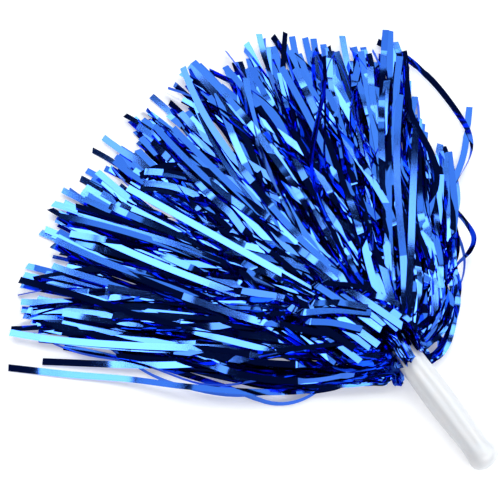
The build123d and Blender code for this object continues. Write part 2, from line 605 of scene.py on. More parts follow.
# Combs: streamers in each, how far a lock's combs spread past its sector, their step in streamer
# widths, and the scatter of one streamer's direction in its comb, in degrees
COMB_SIZE = 6
COMB_SPREAD = 1.04
COMB_STEP = (0.80, 1.12)
COMB_SCATTER = 1.6

# Kinds of streamer, the share of smooth ones, and how many more are curled at the right of the fan
PLAIN, SMOOTH, CURLED = 0, 1, 2
SMOOTH_SHARE = 0.12
MORE_CURLED = 0.28

# Tips: the most that one falls short of its comb, and the share that reach the outline whatever their
# comb does
TIP_SCATTER = 0.06
LONG_SHARE = 0.07

# Edges of the clumps that the tips gather in, in degrees over the fan from its left side, how far the
# tips of each clump reach as a share of the outline, and how wide a clump is drawn as a share of its
# place
CLUMP_EDGES = (
    -50.5, -43.2, -37.8, -31.9, -26.5, -19.6, -12.5, -5.5, 0.5, 7.0, 14.0, 21.5, 28.0, 34.5, 41.0,
    46.5, 54.5,
)
CLUMP_REACH = (
    1.0, 0.98, 1.0, 0.985, 1.0, 0.97, 1.0, 0.99, 1.0, 1.0, 0.98, 1.0, 0.98, 1.0, 0.99, 0.98,
)
CLUMP_WIDTH = 0.80

# Lines seen from above: the shares of the reach at which a line leaves its root's direction and takes
# its tip's, the widest angle at the mouth, the radius and depth of the roots in the mouth, and a curled
# one's swing in mm
ROOT_STRIDE = (0.22, 0.42)
TIP_STRIDE = (0.30, 0.46)
WIDEST_ROOT = math.radians(112.0)
ROOT_RADIUS = 6.0 * MM
ROOT_DEPTH = 4.0 * MM
SWING = 4.5

# Lines seen from the side: where the rise from the mouth ends, in mm, where the fall to the tip starts,
# how much shorter than the reach the fall is, and the height of the slow wave of smooth streamers and
# of the others, in mm
RISE_ENDS = (34.0, 58.0)
FALL_STARTS = 55.0 * MM
FALL_MARGIN = 80.0 * MM
WAVE = (0.5, 1.7)

# How near a streamer comes to straight lines from crease to crease, the share of creased stations at
# the mouth and far from it, the same far share on routed streamers, and the distance over which it
# falls
STRAIGHT = 0.85
LOCK_CREASES = (0.34, 0.26)
ROUTED_FAR_CREASES = 0.08
CREASES_FADE = 90.0 * MM

# The fan's outline is drawn in by each of these shares, which starts at an angle over the fan and takes
# so many degrees
OUTLINE_DROPS = ((0.05, 16.0, 14.0), (0.33, 36.5, 11.0))


def fan_reach(angle):
    """The fan's outline: the full reach over most of it, drawn in towards its right-hand edge."""
    share = 1.0
    for drop, start, over in OUTLINE_DROPS:
        share = share - drop * smooth_step((angle - start) / over)
    return bpy.context.scene.pom_foil.reach * share


def clump_of(angle):
    """The number of the clump that an angle over the fan falls in."""
    return np.clip(np.searchsorted(CLUMP_EDGES, angle) - 1, 0, len(CLUMP_EDGES) - 2)


def gathered(angle):
    """An angle drawn towards the middle of its clump, which leaves a gap between one clump and the next."""
    edges = np.array(CLUMP_EDGES)
    clump = clump_of(angle)
    middle = 0.5 * (edges[clump] + edges[clump + 1])
    return middle + CLUMP_WIDTH * (angle - middle)


def curve_points(places, station):
    """The cubic Bezier curve of four places for each streamer, read at the stations from 0 to 1."""
    t = station[:, :, None]
    a, b, c, d = (p[:, None, :] for p in places)
    return a * (1 - t) ** 3 + 3 * b * t * (1 - t) ** 2 + 3 * c * t**2 * (1 - t) + d * t**3


def directions(angle):
    """The level direction of each angle over the fan, in radians."""
    return np.hstack([np.sin(angle), np.cos(angle)])


def right_side(angle):
    """0 over most of the fan, and 1 at its right."""
    return float(smooth_step((angle - 8.0) / 20.0))


def lay_combs(rng, shape, angle, half_step, count):
    """Where one lock's tips lie: their angle and reach, how far each direction leans, and the kind of
    each.

    Streamers lie side by side in combs. A comb's tips share one direction, which leans a little off the
    fan's, and stand in a row about one width apart."""
    foil = bpy.context.scene.pom_foil
    combs = -(-count // COMB_SIZE)
    comb = np.arange(count) % combs
    place = (np.arange(count) // combs - 0.5 * (COMB_SIZE - 1))[:, None]
    slots = (np.arange(combs) + rng.uniform(0.15, 0.85, combs)) / combs
    comb_angle = angle + half_step * (2.0 * rng.permutation(slots) - 1.0) * COMB_SPREAD
    lean = rng.normal(0.0, shape["lean"], combs)[comb][:, None] + rng.normal(0.0, COMB_SCATTER, (count, 1))
    draw = rng.random((count, 1))
    curled_share = shape["curled"] + MORE_CURLED * right_side(angle)
    kind = np.where(draw < SMOOTH_SHARE, SMOOTH, np.where(draw > 1.0 - curled_share, CURLED, PLAIN))
    step = foil.width * rng.uniform(*COMB_STEP, combs)[comb][:, None]
    beside = comb_angle[comb][:, None] + np.degrees(place * step / foil.reach)
    tip_angle = gathered(beside)
    outline = fan_reach(tip_angle)
    short = 1.0 - (1.0 - shape["short"]) * rng.random(combs)[comb][:, None]
    pulled = np.array(CLUMP_REACH)[clump_of(beside)]
    reach = outline * pulled * short * (1.0 - TIP_SCATTER * rng.random((count, 1)) ** 2.0)
    reach = np.where(rng.random((count, 1)) < LONG_SHARE, outline, reach)
    return tip_angle, reach, lean, kind


def streamer_paths(rng, layer, angle, half_step, count, segments):
    """Centre lines of one lock's streamers, each station's distance from the mouth, and each one's
    reach and kind.

    Seen from above each line is a Bezier curve from the mouth to the tip, whose root leaves at a
    direction of its own. Its height leaves the mouth, goes to a hump and comes down to the tip, with a
    slow wave on it. Smooth ones lie on top and run straight. Curled ones stand on edge and swing from
    side to side."""
    shape = LAYERS[layer]
    tip_angle, reach, lean, kind = lay_combs(rng, shape, angle, half_step, count)
    smooth, curled = kind == SMOOTH, kind == CURLED
    turn = np.radians(tip_angle)
    mouth = np.tile(MOUTH[:2], (count, 1))
    tip = mouth + directions(turn) * reach
    heading = np.radians(tip_angle + lean + curled * rng.normal(0.0, 14.0, (count, 1)))
    last = tip - directions(heading) * reach * rng.uniform(*TIP_STRIDE, (count, 1))
    spread = np.where(smooth, 4.0, np.where(curled, 1.5 * shape["root"], shape["root"]))
    leaving = np.radians(tip_angle * 1.10 + rng.normal(0.0, 1.0, (count, 1)) * spread)
    leaving = np.clip(leaving, -WIDEST_ROOT, WIDEST_ROOT)
    stride = rng.uniform(*ROOT_STRIDE, (count, 1)) * reach
    first = mouth + directions(leaving) * stride
    turn_round = rng.uniform(0.0, 2.0 * math.pi, (count, 1))
    off = rng.uniform(0.1, 1.0, (count, 1)) ** 0.5 * ROOT_RADIUS
    root = mouth + np.hstack([off * np.cos(turn_round), np.full((count, 1), -ROOT_DEPTH)])
    station = np.linspace(0.0, 1.0, segments + 1)[None, :] ** 1.12 + np.zeros((count, 1))
    flat = curve_points((root, first, last, tip), station)
    distance = np.linalg.norm(flat - MOUTH[:2], axis=-1)
    distance[:, :2] *= -1.0
    phase = rng.uniform(0.0, 6.3, (count, 1))
    swing = curled * SWING * (1.0 + right_side(angle)) * MM
    swing = swing * np.sin(distance * rng.uniform(28.0, 60.0, (count, 1)) + phase)
    across = np.hstack([np.cos(turn), -np.sin(turn)])
    flat += (swing * np.sin(math.pi * station))[..., None] * across[:, None, :]
    level = np.clip(rng.random((count, 1)) * 0.85 + 0.3 * smooth, 0.0, 1.0)
    hump = (shape["hump"][0] + (shape["hump"][1] - shape["hump"][0]) * level) * MM
    end = (shape["tip"][0] + (shape["tip"][1] - shape["tip"][0]) * level**1.3) * MM
    rise = smooth_step(distance / (rng.uniform(*RISE_ENDS, (count, 1)) * MM))
    fall = smooth_step((distance - FALL_STARTS) / (reach - FALL_MARGIN))
    height = (MOUTH[2] + off * np.sin(turn_round)) * (1.0 - rise) + rise * (hump + (end - hump) * fall)
    wave = np.where(smooth, *WAVE) * MM * (0.35 + 0.9 * np.exp(-distance / (100 * MM)))
    phase = rng.uniform(0.0, 6.3, (count, 1))
    height += wave * rise * np.sin(distance * rng.uniform(45.0, 85.0, (count, 1)) + phase)
    return np.concatenate([flat, height[..., None]], axis=-1), distance, reach, kind


# How loose the film is: at the tips, the more at the neck and how fast that fades, on smooth streamers,
# and the length of the flat end in mm. The turn of curled streamers about their line
TIP_LOOSE = 0.22
NECK_LOOSE = 0.5
NECK_FADE = 70.0 * MM
SMOOTH_LOOSE = 0.16
FLAT_END = (45.0, 120.0)
CURLED_TURN = math.radians(74.0)


def film_roll(rng, distance, reach, amount, creased, kind):
    """How far each streamer's width is turned about its line, before and after each station, and how
    loose it is.

    The looseness is 1 in the fan's middle, more at the neck and small over the last stretch before the
    tip, where streamers lie flat. A slow turn and a step at each crease are both scaled by it. Curled
    streamers stand on edge over their middle."""
    count = distance.shape[0]
    neck = np.exp(-np.maximum(distance, 0.0) / NECK_FADE)
    flat_from = rng.uniform(*FLAT_END, (count, 1)) * MM
    loose = TIP_LOOSE + (1.0 - TIP_LOOSE) * smooth_step((reach - distance) / flat_from - 0.15)
    loose = loose * (1.0 + NECK_LOOSE * neck) * np.where(kind == SMOOTH, SMOOTH_LOOSE, 1.0)
    slow = rng.normal(0.0, 1.15, (count, 1)) * np.sin(
        distance * rng.uniform(10.0, 34.0, (count, 1)) + rng.uniform(0.0, 6.3, (count, 1))
    )
    lean = rng.normal(0.0, 0.35, (count, 1))
    on_edge = CURLED_TURN * rng.choice([-1.0, 1.0], (count, 1)) * (kind == CURLED)
    on_edge = on_edge * smooth_step((reach - distance) / flat_from - 0.25)
    step = rng.normal(0.0, 0.8, creased.shape)
    before, after = held(on_edge + np.radians(amount) * (slow + lean + step) * loose, creased)
    return before, after, loose


def bend_from_neck(made, node):
    """Bakes a piece's placement into its mesh and has it stand for a lock or stray, whose part is hidden."""
    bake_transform(made)
    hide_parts(node)


def build_lock(layer, node, half_step, count, seed):
    """All the streamers of one lock as one piece, which stands for the lock."""
    rng = np.random.default_rng(seed)
    foil = bpy.context.scene.pom_foil
    angle = node_angle(node)
    centre, distance, reach, kind = streamer_paths(rng, layer, angle, half_step, count, foil.segments)
    creased = pick_creases(rng, distance, *LOCK_CREASES, CREASES_FADE)
    creased &= (kind == PLAIN) | (rng.random(creased.shape) < 0.15)
    before, after, loose = film_roll(rng, distance, reach, LAYERS[layer]["roll"], creased, kind)
    sideways = level_width(tangents(centre))
    free = smooth_step((distance - 10 * MM) / (35 * MM)) * loose
    centre += sideways * (zigzag(rng, creased, 0.55 * MM) * free)[..., None]
    centre[..., 2] = straightened(centre[..., 2] + zigzag(rng, creased, 0.9 * MM) * free, creased, STRAIGHT)
    cut = rng.normal(0.0, 0.16, count)
    width = level_width(tangents(centre))
    left, right = ribbon_edges(centre, width, before, after, creased, 0.5 * foil.width, cut)
    left, right = keep_over_floor(left, right, 0.4 * MM)
    made = ribbon_object(f"{node}_streamers", left, right, creased, rng.random(count), seed)
    bend_from_neck(made, node)
    return made


def build_layer(layer, count, seed):
    """Every lock of a layer."""
    nodes = sorted(n for n in frame["nodes"] if n.startswith(f"{layer}_lock_"))
    angles = [node_angle(n) for n in nodes]
    half_step = 0.5 * (max(angles) - min(angles)) / (len(nodes) - 1)
    return [build_lock(layer, node, half_step, count, seed + i) for i, node in enumerate(nodes)]


# ---------------------------------------------------------------------------------------------
# Streamers that lie apart from the fan
# ---------------------------------------------------------------------------------------------


def spline_points(corners, stations):
    """A smooth line through given corners: each stretch is the Catmull-Rom cubic of its four nearest
    corners, read at even steps of the corners' own number."""
    corners = np.asarray(corners, float)
    padded = np.vstack([2 * corners[0] - corners[1], corners, 2 * corners[-1] - corners[-2]])
    place = np.linspace(0.0, len(corners) - 1.0, stations)
    first = np.minimum(place.astype(int), len(corners) - 2)
    t = (place - first)[:, None]
    a, b, c, d = (padded[first + k] for k in range(4))
    return 0.5 * (2 * b + (c - a) * t + (2 * a - 5 * b + 4 * c - d) * t**2 + (3 * b - a - 3 * c + d) * t**3)


def route(corners, stations):
    """The smooth line through corners given as (angle, distance in mm, height in mm) over the fan."""
    corners = np.asarray(corners, float)
    return spline_points(fan_point(corners[:, 0], corners[:, 1] * MM, corners[:, 2] * MM), stations)


def routed_streamers(name, centre, roll, seed, roll_step, near_share, carried=False):
    """The mesh of streamers along given centre lines. roll is each one's turn about its line at every
    station. Their width is level, or is carried along from a level start where the lines fold back."""
    rng = np.random.default_rng(seed)
    foil = bpy.context.scene.pom_foil
    steps = np.linalg.norm(np.diff(centre, axis=1), axis=-1)
    distance = np.concatenate([np.zeros((len(centre), 1)), np.cumsum(steps, axis=1)], axis=1)
    creased = pick_creases(rng, distance, near_share, ROUTED_FAR_CREASES, CREASES_FADE)
    centre = centre.copy()
    centre[..., 2] += zigzag(rng, creased, 0.5 * MM) * smooth_step(distance / (30 * MM))
    before, after = held(rng.normal(0.0, math.radians(roll_step), creased.shape), creased)
    tangent = tangents(centre)
    width = level_width(tangent)
    if carried:
        width = carried_width(tangent, width[:, 0])
    cut = rng.normal(0.0, 0.2, len(centre))
    left, right = ribbon_edges(centre, width, roll + before, roll + after, creased, 0.5 * foil.width, cut)
    left, right = keep_over_floor(left, right, 0.3 * MM)
    made = ribbon_object(name, left, right, creased, rng.random(len(centre)), seed)
    return made, float(distance[:, -1].mean())


def build_stray(node, routes, rolls, seed):
    """Streamers along given routes, as one piece that stands for the stray.
    rolls holds for each route its turn about its line, in degrees, from mouth to tip."""
    stations = bpy.context.scene.pom_foil.segments + 1
    centre = np.array([route(corners, stations) for corners in routes])
    place = np.linspace(0, 1, stations)
    roll = np.radians([np.interp(place, np.linspace(0, 1, len(r)), r) for r in rolls])
    made, length = routed_streamers(f"{node}_streamer", centre, roll, seed, 4.0, 0.12)
    bend_from_neck(made, node)
    return made


# Routes of the stray streamers: (angle, distance, height) from the mouth to the tip, and their turns
STRAYS = {
    "stray_left_outer": (
        [
            [(-4, 6, 25), (-40, 32, 16), (-76, 62, 6), (-72, 105, 13), (-64, 165, 15), (-59, 215, 6),
             (-57, 260, 2.6), (-55.4, 309, 2.2)],
            [(-4, 6, 24), (-40, 30, 14), (-72, 60, 5), (-71, 96, 4), (-67, 140, 4), (-60, 186, 4),
             (-54, 218, 4), (-49.2, 246, 4), (-48.5, 288, 4)],
        ],
        [[20, 10, 3, 0, -2, 0, 10, 26], [30, 50, 66, 78, 80, 80, 74, 66, 60]],
    ),
    "stray_left_inner": (
        [
            [(-4, 6, 25), (-30, 34, 17), (-52, 70, 16), (-57, 120, 17), (-56.5, 190, 8),
             (-54.6, 282, 2)],
            [(-4, 6, 24), (-50, 36, 14), (-78, 70, 6), (-76, 104, 4), (-64, 140, 3), (-56, 190, 3),
             (-51, 236, 3)],
        ],
        [[-20, -10, 2, 0, 2, 22], [40, 66, 78, 74, 60, 20, 8]],
    ),
    "stray_right_inner": (
        [
            [(3, 6, 26), (34, 40, 28), (50, 84, 20), (53, 122, 10), (55, 152, 8), (56.8, 184, 7),
             (55.5, 203, 7), (51.5, 221, 7), (45.5, 246, 7), (40, 268, 7), (34.6, 285, 7)],
            [(3, 6, 26), (30, 34, 30), (44, 76, 26), (51, 120, 14), (54.5, 156, 7), (55, 190, 5),
             (53.2, 233, 4)],
        ],
        [[0, 40, 60, 66, 74, 80, 66, 50, 44, 40, 34], [20, 30, 40, 34, 16, 12, 10]],
    ),
    "stray_right_outer": (
        [
            [(3, 6, 26), (60, 30, 30), (72, 62, 26), (70, 84, 22), (71, 104, 16), (69, 118, 14),
             (63, 128, 12), (56, 138, 10), (50, 150, 10)],
            [(3, 6, 24), (50, 32, 26), (66, 60, 22), (68, 82, 18), (66, 100, 14), (61, 118, 12),
             (54, 140, 10)],
        ],
        [[10, 40, 60, 50, 30, 40, 60, 60, 50], [20, 60, 50, 40, 50, 60, 60]],
    ),
}


# ---------------------------------------------------------------------------------------------
# Streamers folded back about the handle's mouth
# ---------------------------------------------------------------------------------------------


def scattered_routes(rng, corners, count):
    """Routes that repeat one list of corners with a scatter. Each corner is (angle, distance, height,
    and the scatter of each). Half of a route's scatter is its own at every corner, and the rest it
    keeps throughout."""
    table = np.array(corners, float)
    places, scatter = table[:, :3], table[:, 3:]
    kept = rng.uniform(-1.0, 1.0, (count, 1, 3))
    own = rng.uniform(-1.0, 1.0, (count, len(table), 3))
    return places + scatter * (0.55 * kept + 0.45 * own)


# The folds on each side of the mouth: the turn of the film in degrees, and families of streamers, each
# with its number and its corners from the mouth to the tip: angle, distance, height and the scatter of
# each
FOLDS = {
    "left_fold_back": dict(
        turn=9.0,
        families=(
            (14, [
                (-20, 4, 24, 20, 2, 3), (-92, 11, 14, 10, 3, 3), (-126, 16, 5, 6, 3, 2),
                (-141, 21, 5, 6, 3, 2), (-144, 22, 11, 5, 3, 3), (-138, 19, 18, 5, 3, 3),
                (-104, 24, 20, 6, 4, 4), (-82, 46, 16, 5, 6, 5), (-69, 76, 12, 4, 8, 5),
                (-60, 120, 9, 4, 10, 5), (-53, 180, 6, 4, 14, 3), (-49, 250, 3, 4, 28, 2),
            ]),
            (9, [
                (-30, 5, 27, 15, 2, 3), (-100, 14, 20, 10, 3, 4), (-116, 24, 14, 8, 3, 4),
                (-96, 34, 14, 6, 4, 5), (-78, 56, 14, 5, 6, 5), (-66, 92, 12, 5, 8, 5),
                (-57, 150, 8, 4, 12, 4), (-51, 220, 4, 4, 24, 3),
            ]),
        ),
    ),
    "right_fold_back": dict(
        turn=11.0,
        families=(
            (6, [
                (20, 4, 26, 20, 2, 3), (110, 14, 20, 10, 3, 3), (134, 24, 10, 8, 4, 4),
                (120, 34, 8, 6, 4, 4), (100, 46, 12, 4, 4, 4), (84, 62, 16, 3, 4, 4),
                (74, 74, 18, 3, 4, 4), (64, 92, 18, 3, 6, 5), (57, 130, 13, 4, 8, 5),
                (49, 180, 6, 4, 12, 3),
            ]),
            (9, [
                (30, 4, 27, 20, 2, 3), (128, 12, 20, 8, 3, 3), (105, 30, 20, 6, 3, 3),
                (95, 44, 24, 4, 3, 3), (84, 54, 27, 4, 3, 3), (72, 60, 29, 4, 4, 3),
                (60, 78, 28, 4, 6, 4), (50, 120, 22, 5, 8, 5), (45, 180, 8, 5, 14, 4),
            ]),
            (8, [
                (40, 5, 30, 20, 2, 2), (90, 16, 34, 14, 4, 3), (84, 38, 29, 6, 4, 3),
                (71, 52, 31, 5, 4, 3), (58, 72, 32, 5, 6, 3), (48, 108, 28, 6, 8, 4),
                (42, 176, 12, 6, 14, 5),
            ]),
            (2, [
                (60, 6, 20, 10, 1, 2), (101, 27, 10, 3, 2, 2), (103, 35, 8, 2, 2, 1),
                (118, 32, 6, 2, 2, 1), (130, 27, 4, 2, 2, 1), (122, 21, 6, 3, 2, 1),
                (98, 22, 10, 3, 2, 2), (88, 40, 13, 4, 3, 2), (76, 66, 13, 4, 4, 3),
            ]),
        ),
    ),
}


def bend_from_handle(made, node):
    """Bakes a piece's placement into its mesh. It stands for the node, whose part is hidden."""
    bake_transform(made)
    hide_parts(node)


def build_fold_back(node, seed):
    """The streamers that bulge out on one side of the mouth, turn back beside the handle and join the
    fan's edge."""
    fold = FOLDS[node]
    rng = np.random.default_rng(seed)
    stations = bpy.context.scene.pom_foil.segments + 1
    routes = []
    for count, corners in fold["families"]:
        routes.extend(scattered_routes(rng, corners, count))
    centre = np.array([route(corners, stations) for corners in routes])
    centre[..., 2] = np.maximum(centre[..., 2], 1.5 * MM)
    count = len(centre)
    wave = np.sin(np.linspace(0.0, 9.0, stations)[None, :] + rng.uniform(0.0, 6.3, (count, 1)))
    roll = np.radians(fold["turn"]) * (rng.normal(0.0, 1.0, (count, 1)) + wave)
    made, length = routed_streamers(f"{node}_streamers", centre, roll, seed, 12.0, 0.14, carried=True)
    bend_from_handle(made, node)
    return made


# Streamers over the rim of the mouth: how many, their spread round the handle in degrees, how far they
# lie back over it in mm, and the angles over the fan and the distances in mm at which they end
RIM_COUNT = 22
RIM_SPREAD = (-105.0, 62.0)
RIM_OVERLAP = (3.0, 15.0)
RIM_FAN = (-58.0, 50.0)
RIM_REACH = (60.0, 130.0)


def over_mouth_lines(rng, count):
    """Streamers that leave the mouth at the top, lie back over its rim, fold and run forward over the
    fan.

    Each is laid out round the handle's axis by its angle round it, 0 at the top, with a distance from
    the axis and a place along it, and its last corners are over the fan."""
    side = np.array([1.0, 0.0, 0.0])
    top = np.cross(side, -HANDLE_AXIS)
    top *= np.sign(top[2])
    stations = bpy.context.scene.pom_foil.segments + 1
    around = np.radians(rng.uniform(*RIM_SPREAD, count))
    back = rng.uniform(*RIM_OVERLAP, count)
    fan = np.clip(np.degrees(around) * 0.5 - 10.0 + rng.normal(0.0, 20.0, count), *RIM_FAN)
    lines = []
    for turn, fold, angle in zip(around, back, fan):
        far = rng.uniform(*RIM_REACH)
        lift = 8.0 * math.cos(turn) + rng.uniform(0.0, 6.0)
        rim = [
            (0.3 * turn, 4.0, -4.0), (0.7 * turn, 9.0, -10.0), (turn, 14.6, -4.0),
            (turn, 13.8, fold - 1.5),
            (turn + 0.05, 15.4, fold), (turn + 0.08, 17.4, fold - 2.0), (turn + 0.1, 20.0, -9.0),
        ]
        places = [
            MOUTH + HANDLE_AXIS * along * MM + (side * math.sin(a) + top * math.cos(a)) * radius * MM
            for a, radius, along in rim
        ]
        places.append(fan_point(0.7 * angle + 0.3 * math.degrees(turn), 34 * MM, (27.0 + lift) * MM))
        places.append(fan_point(angle, 0.55 * far * MM, (31.0 + lift) * MM))
        places.append(fan_point(angle + rng.normal(0.0, 5.0), far * MM, (26.0 + lift) * MM))
        lines.append(spline_points(np.array(places), stations))
    return np.array(lines)


# Tips that lie across the fan near the mouth: the tip's place to the right of the mouth and in front of
# it, in mm, the length of its straight end, how far that leans to the side as a share of its length,
# and its height
CROSSING_TIPS = (
    (-8.0, 35.0, 32.0, -0.96, 51.0),
    (-8.0, 30.0, 36.0, -1.15, 49.0),
    (4.0, 44.0, 30.0, -0.80, 50.0),
    (-22.0, 24.0, 34.0, -0.85, 49.0),
    (14.0, 22.0, 26.0, -0.55, 50.0),
)


# Tips that lie side by side near the mouth: how many, the first and the last one's place to the right
# of it, in mm, their height over the floor, and how much lower they lie for each mm to the left of
# TIPS_FALL_FROM
TIPS_COUNT = 16
TIPS_PLACES = (-62.0, 8.0)
TIPS_HEIGHT = 50.0
TIPS_FALL = 0.22
TIPS_FALL_FROM = -8.0


def returning_lines(rng, count):
    """Streamers that double back over the fan: out from the mouth under the others, up round a fold,
    and back on top side by side to a cut tip beside or over the mouth."""
    stations = bpy.context.scene.pom_foil.segments + 1
    rows = list(CROSSING_TIPS)
    for x in np.linspace(*TIPS_PLACES, count) + rng.uniform(-2.5, 2.5, count):
        end = rng.uniform(-4.0, 16.0) + 0.22 * abs(x)
        top = TIPS_HEIGHT - TIPS_FALL * max(0.0, TIPS_FALL_FROM - x) + rng.uniform(-2.0, 2.0)
        rows.append((x, end, rng.uniform(30.0, 64.0), -0.26 + rng.normal(0.0, 0.05), top))
    lines = []
    for x, end, length, lean, top in rows:
        out = end + length
        far = x + lean * length
        places = [
            (0.1 * x, -3.0, 26.0), (0.35 * x, 0.35 * out, 24.0), (far, out - 12.0, top - 10.0),
            (far + 0.5, out, top - 6.0), (far + 1.0, out - 5.0, top - 2.0),
            (x + 0.5 * lean * length, out - 0.5 * length, top - 0.4), (x, end, top),
        ]
        lines.append(spline_points(MOUTH * (1, 1, 0) + np.array(places) * MM, stations))
    return np.array(lines)


def build_neck(seed):
    """The streamers folded over the mouth's rim and those that double back over the fan, as one piece."""
    rng = np.random.default_rng(seed)
    stations = bpy.context.scene.pom_foil.segments + 1
    centre = np.concatenate([over_mouth_lines(rng, RIM_COUNT), returning_lines(rng, TIPS_COUNT)])
    count = len(centre)
    roll = np.radians(5.0) * rng.normal(0.0, 1.0, (count, 1)) + np.zeros((count, stations))
    made, length = routed_streamers("folded_streamers", centre, roll, seed, 9.0, 0.12, carried=True)
    bend_from_handle(made, "neck_gather")
    return made


# ---------------------------------------------------------------------------------------------
# Handle
# ---------------------------------------------------------------------------------------------


# Where the handle's mouth, grip, waist and pommel have their radii, as shares of its length, how fast
# it swells from the mouth, and the faces round it
HANDLE_STATIONS = (0.0, 0.50, 0.82, 0.92)
MOUTH_SLOPE = 0.012
FACES_ROUND = 96


def handle_outline(settings, inset):
    """Radius at each station along the handle, from the mouth to the end, drawn in by inset.

    The grip swells from the mouth to its middle and narrows to the waist as the spline through those radii,
    and rises to the pommel; the end is a quarter of an oval."""
    length = HANDLE_END
    names = ("mouth_radius", "grip_radius", "waist_radius", "pommel_radius")
    radii = np.array([getattr(settings, n) for n in names]) - inset
    places = np.array(HANDLE_STATIONS) * length
    along = np.linspace(0.0, places[3], 60)
    slope = np.array([MOUTH_SLOPE, 0.0, 0.0, 0.0])
    piece = np.clip(np.searchsorted(places, along, side="right") - 1, 0, 2)
    gap = places[piece + 1] - places[piece]
    t = (along - places[piece]) / gap
    radius = (
        radii[piece] * (2 * t**3 - 3 * t**2 + 1) + slope[piece] * gap * (t**3 - 2 * t**2 + t)
        + radii[piece + 1] * (3 * t**2 - 2 * t**3) + slope[piece + 1] * gap * (t**3 - t**2)
    )
    quarter = np.linspace(0.0, 0.5 * math.pi, 22)[1:]
    end = length - inset
    along = np.concatenate([along, places[3] + (end - places[3]) * np.sin(quarter)])
    radius = np.concatenate([radius, radii[3] * np.cos(quarter) ** 0.92])
    radius[-1] = 0.0
    return along, radius


def lathe(name, along, radius, flutes):
    """A closed surface round the handle's axis: each outline point is carried round it, and its radius
    is changed by flutes(along, turn). Points on the axis are one vertex each."""
    turn = np.linspace(0.0, 2.0 * math.pi, FACES_ROUND, endpoint=False)
    side = np.array([1.0, 0.0, 0.0])
    top = np.cross(HANDLE_AXIS, side)
    ring = radius[:, None] + flutes(along[:, None], turn[None, :]) * (radius[:, None] > 0)
    points = (
        MOUTH + along[:, None, None] * HANDLE_AXIS
        + ring[..., None] * (np.cos(turn)[None, :, None] * side + np.sin(turn)[None, :, None] * top)
    )
    index = np.arange(ring.size).reshape(ring.shape)
    nearby = np.roll(index, -1, axis=1)
    following = np.roll(index, -1, axis=0)
    faces = np.stack([index, nearby, np.roll(following, -1, axis=1), following], axis=-1)
    faces = faces.reshape(-1, 4)
    mesh = bpy.data.meshes.new(name)
    mesh.from_pydata(points.reshape(-1, 3), [], faces.tolist())
    work = bmesh.new()
    work.from_mesh(mesh)
    bmesh.ops.remove_doubles(work, verts=work.verts, dist=1e-6)
    bmesh.ops.dissolve_degenerate(work, edges=work.edges, dist=1e-7)
    bmesh.ops.recalc_face_normals(work, faces=work.faces)
    for face in work.faces:
        face.smooth = True
    work.to_mesh(mesh)
    work.free()
    made = bpy.data.objects.new(name, mesh)
    bpy.context.scene.collection.objects.link(made)
    return made


def build_handle():
    """The moulded grip: its outer skin with soft ridges, the rounded rim of the mouth, and the hollow
    inside."""
    settings = bpy.context.scene.pom_handle
    outer_along, outer_radius = handle_outline(settings, 0.0)
    inner_along, inner_radius = handle_outline(settings, settings.wall)
    rim_turn = np.linspace(0.0, math.pi, 9)[1:-1]
    middle = 0.5 * (outer_radius[0] + inner_radius[0])
    rim_radius = middle - 0.5 * settings.wall * np.cos(rim_turn)
    rim_along = -0.35 * settings.wall * np.sin(rim_turn)
    along = np.concatenate([outer_along, inner_along[::-1], rim_along])
    radius = np.concatenate([outer_radius, inner_radius[::-1], rim_radius])
    outside = (np.arange(len(along)) < len(outer_along))[:, None]
    length = HANDLE_END

    def flutes(place, turn):
        """Ridges that fade in past the mouth and out before the pommel, uneven in height and drifting a
        little."""
        share = place / length
        fade = smooth_step((share - 0.04) / 0.20) * (1.0 - smooth_step((share - 0.80) / 0.12))
        drift = 0.35 * np.sin(place / length * 5.0)
        ridges = np.cos(settings.flute_count * turn + drift) + 0.45 * np.cos(4 * turn + 1.3 + 2 * drift)
        dents = 0.5 * np.sin(place / length * 17.0 + 2.0 * np.cos(turn)) * np.cos(2 * turn + 0.6)
        return settings.flute_depth * outside * (fade * ridges + 0.5 * fade * dents)

    made = lathe("handle_grip", along, radius, flutes)
    made.data.materials.append(finish("handle_plastic"))
    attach(made, "handle")
    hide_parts("handle_shell")
    return made


# ---------------------------------------------------------------------------------------------
# Stage
# ---------------------------------------------------------------------------------------------


def aim(made, place, target):
    """Puts the camera at place and points it at target."""
    made.location = place
    made.rotation_euler = (Vector(target) - Vector(place)).to_track_quat("-Z", "Y").to_euler()


def panel(name, centre, place, size, level, colour):
    """A rectangular soft light that faces down, level bright to look at, with its middle to the right
    of centre and behind it by place, as the camera looks, and in the plane of the panels."""
    settings = bpy.context.scene.pom_stage
    light = bpy.data.lights.new(name, "AREA")
    light.shape = "RECTANGLE"
    light.size, light.size_y = size
    light.energy = level * math.pi * size[0] * size[1]
    light.color = colour
    made = bpy.data.objects.new(name, light)
    turn = Matrix.Rotation(settings.azimuth, 3, "Z")
    made.location = centre + turn @ Vector((*place, settings.panel_height))
    made.rotation_euler = (0.0, 0.0, settings.azimuth)
    bpy.context.scene.collection.objects.link(made)
    return made


# Colours of the light panels
COOL = (0.70, 0.93, 1.00)
WHITE = (1.00, 1.00, 1.00)

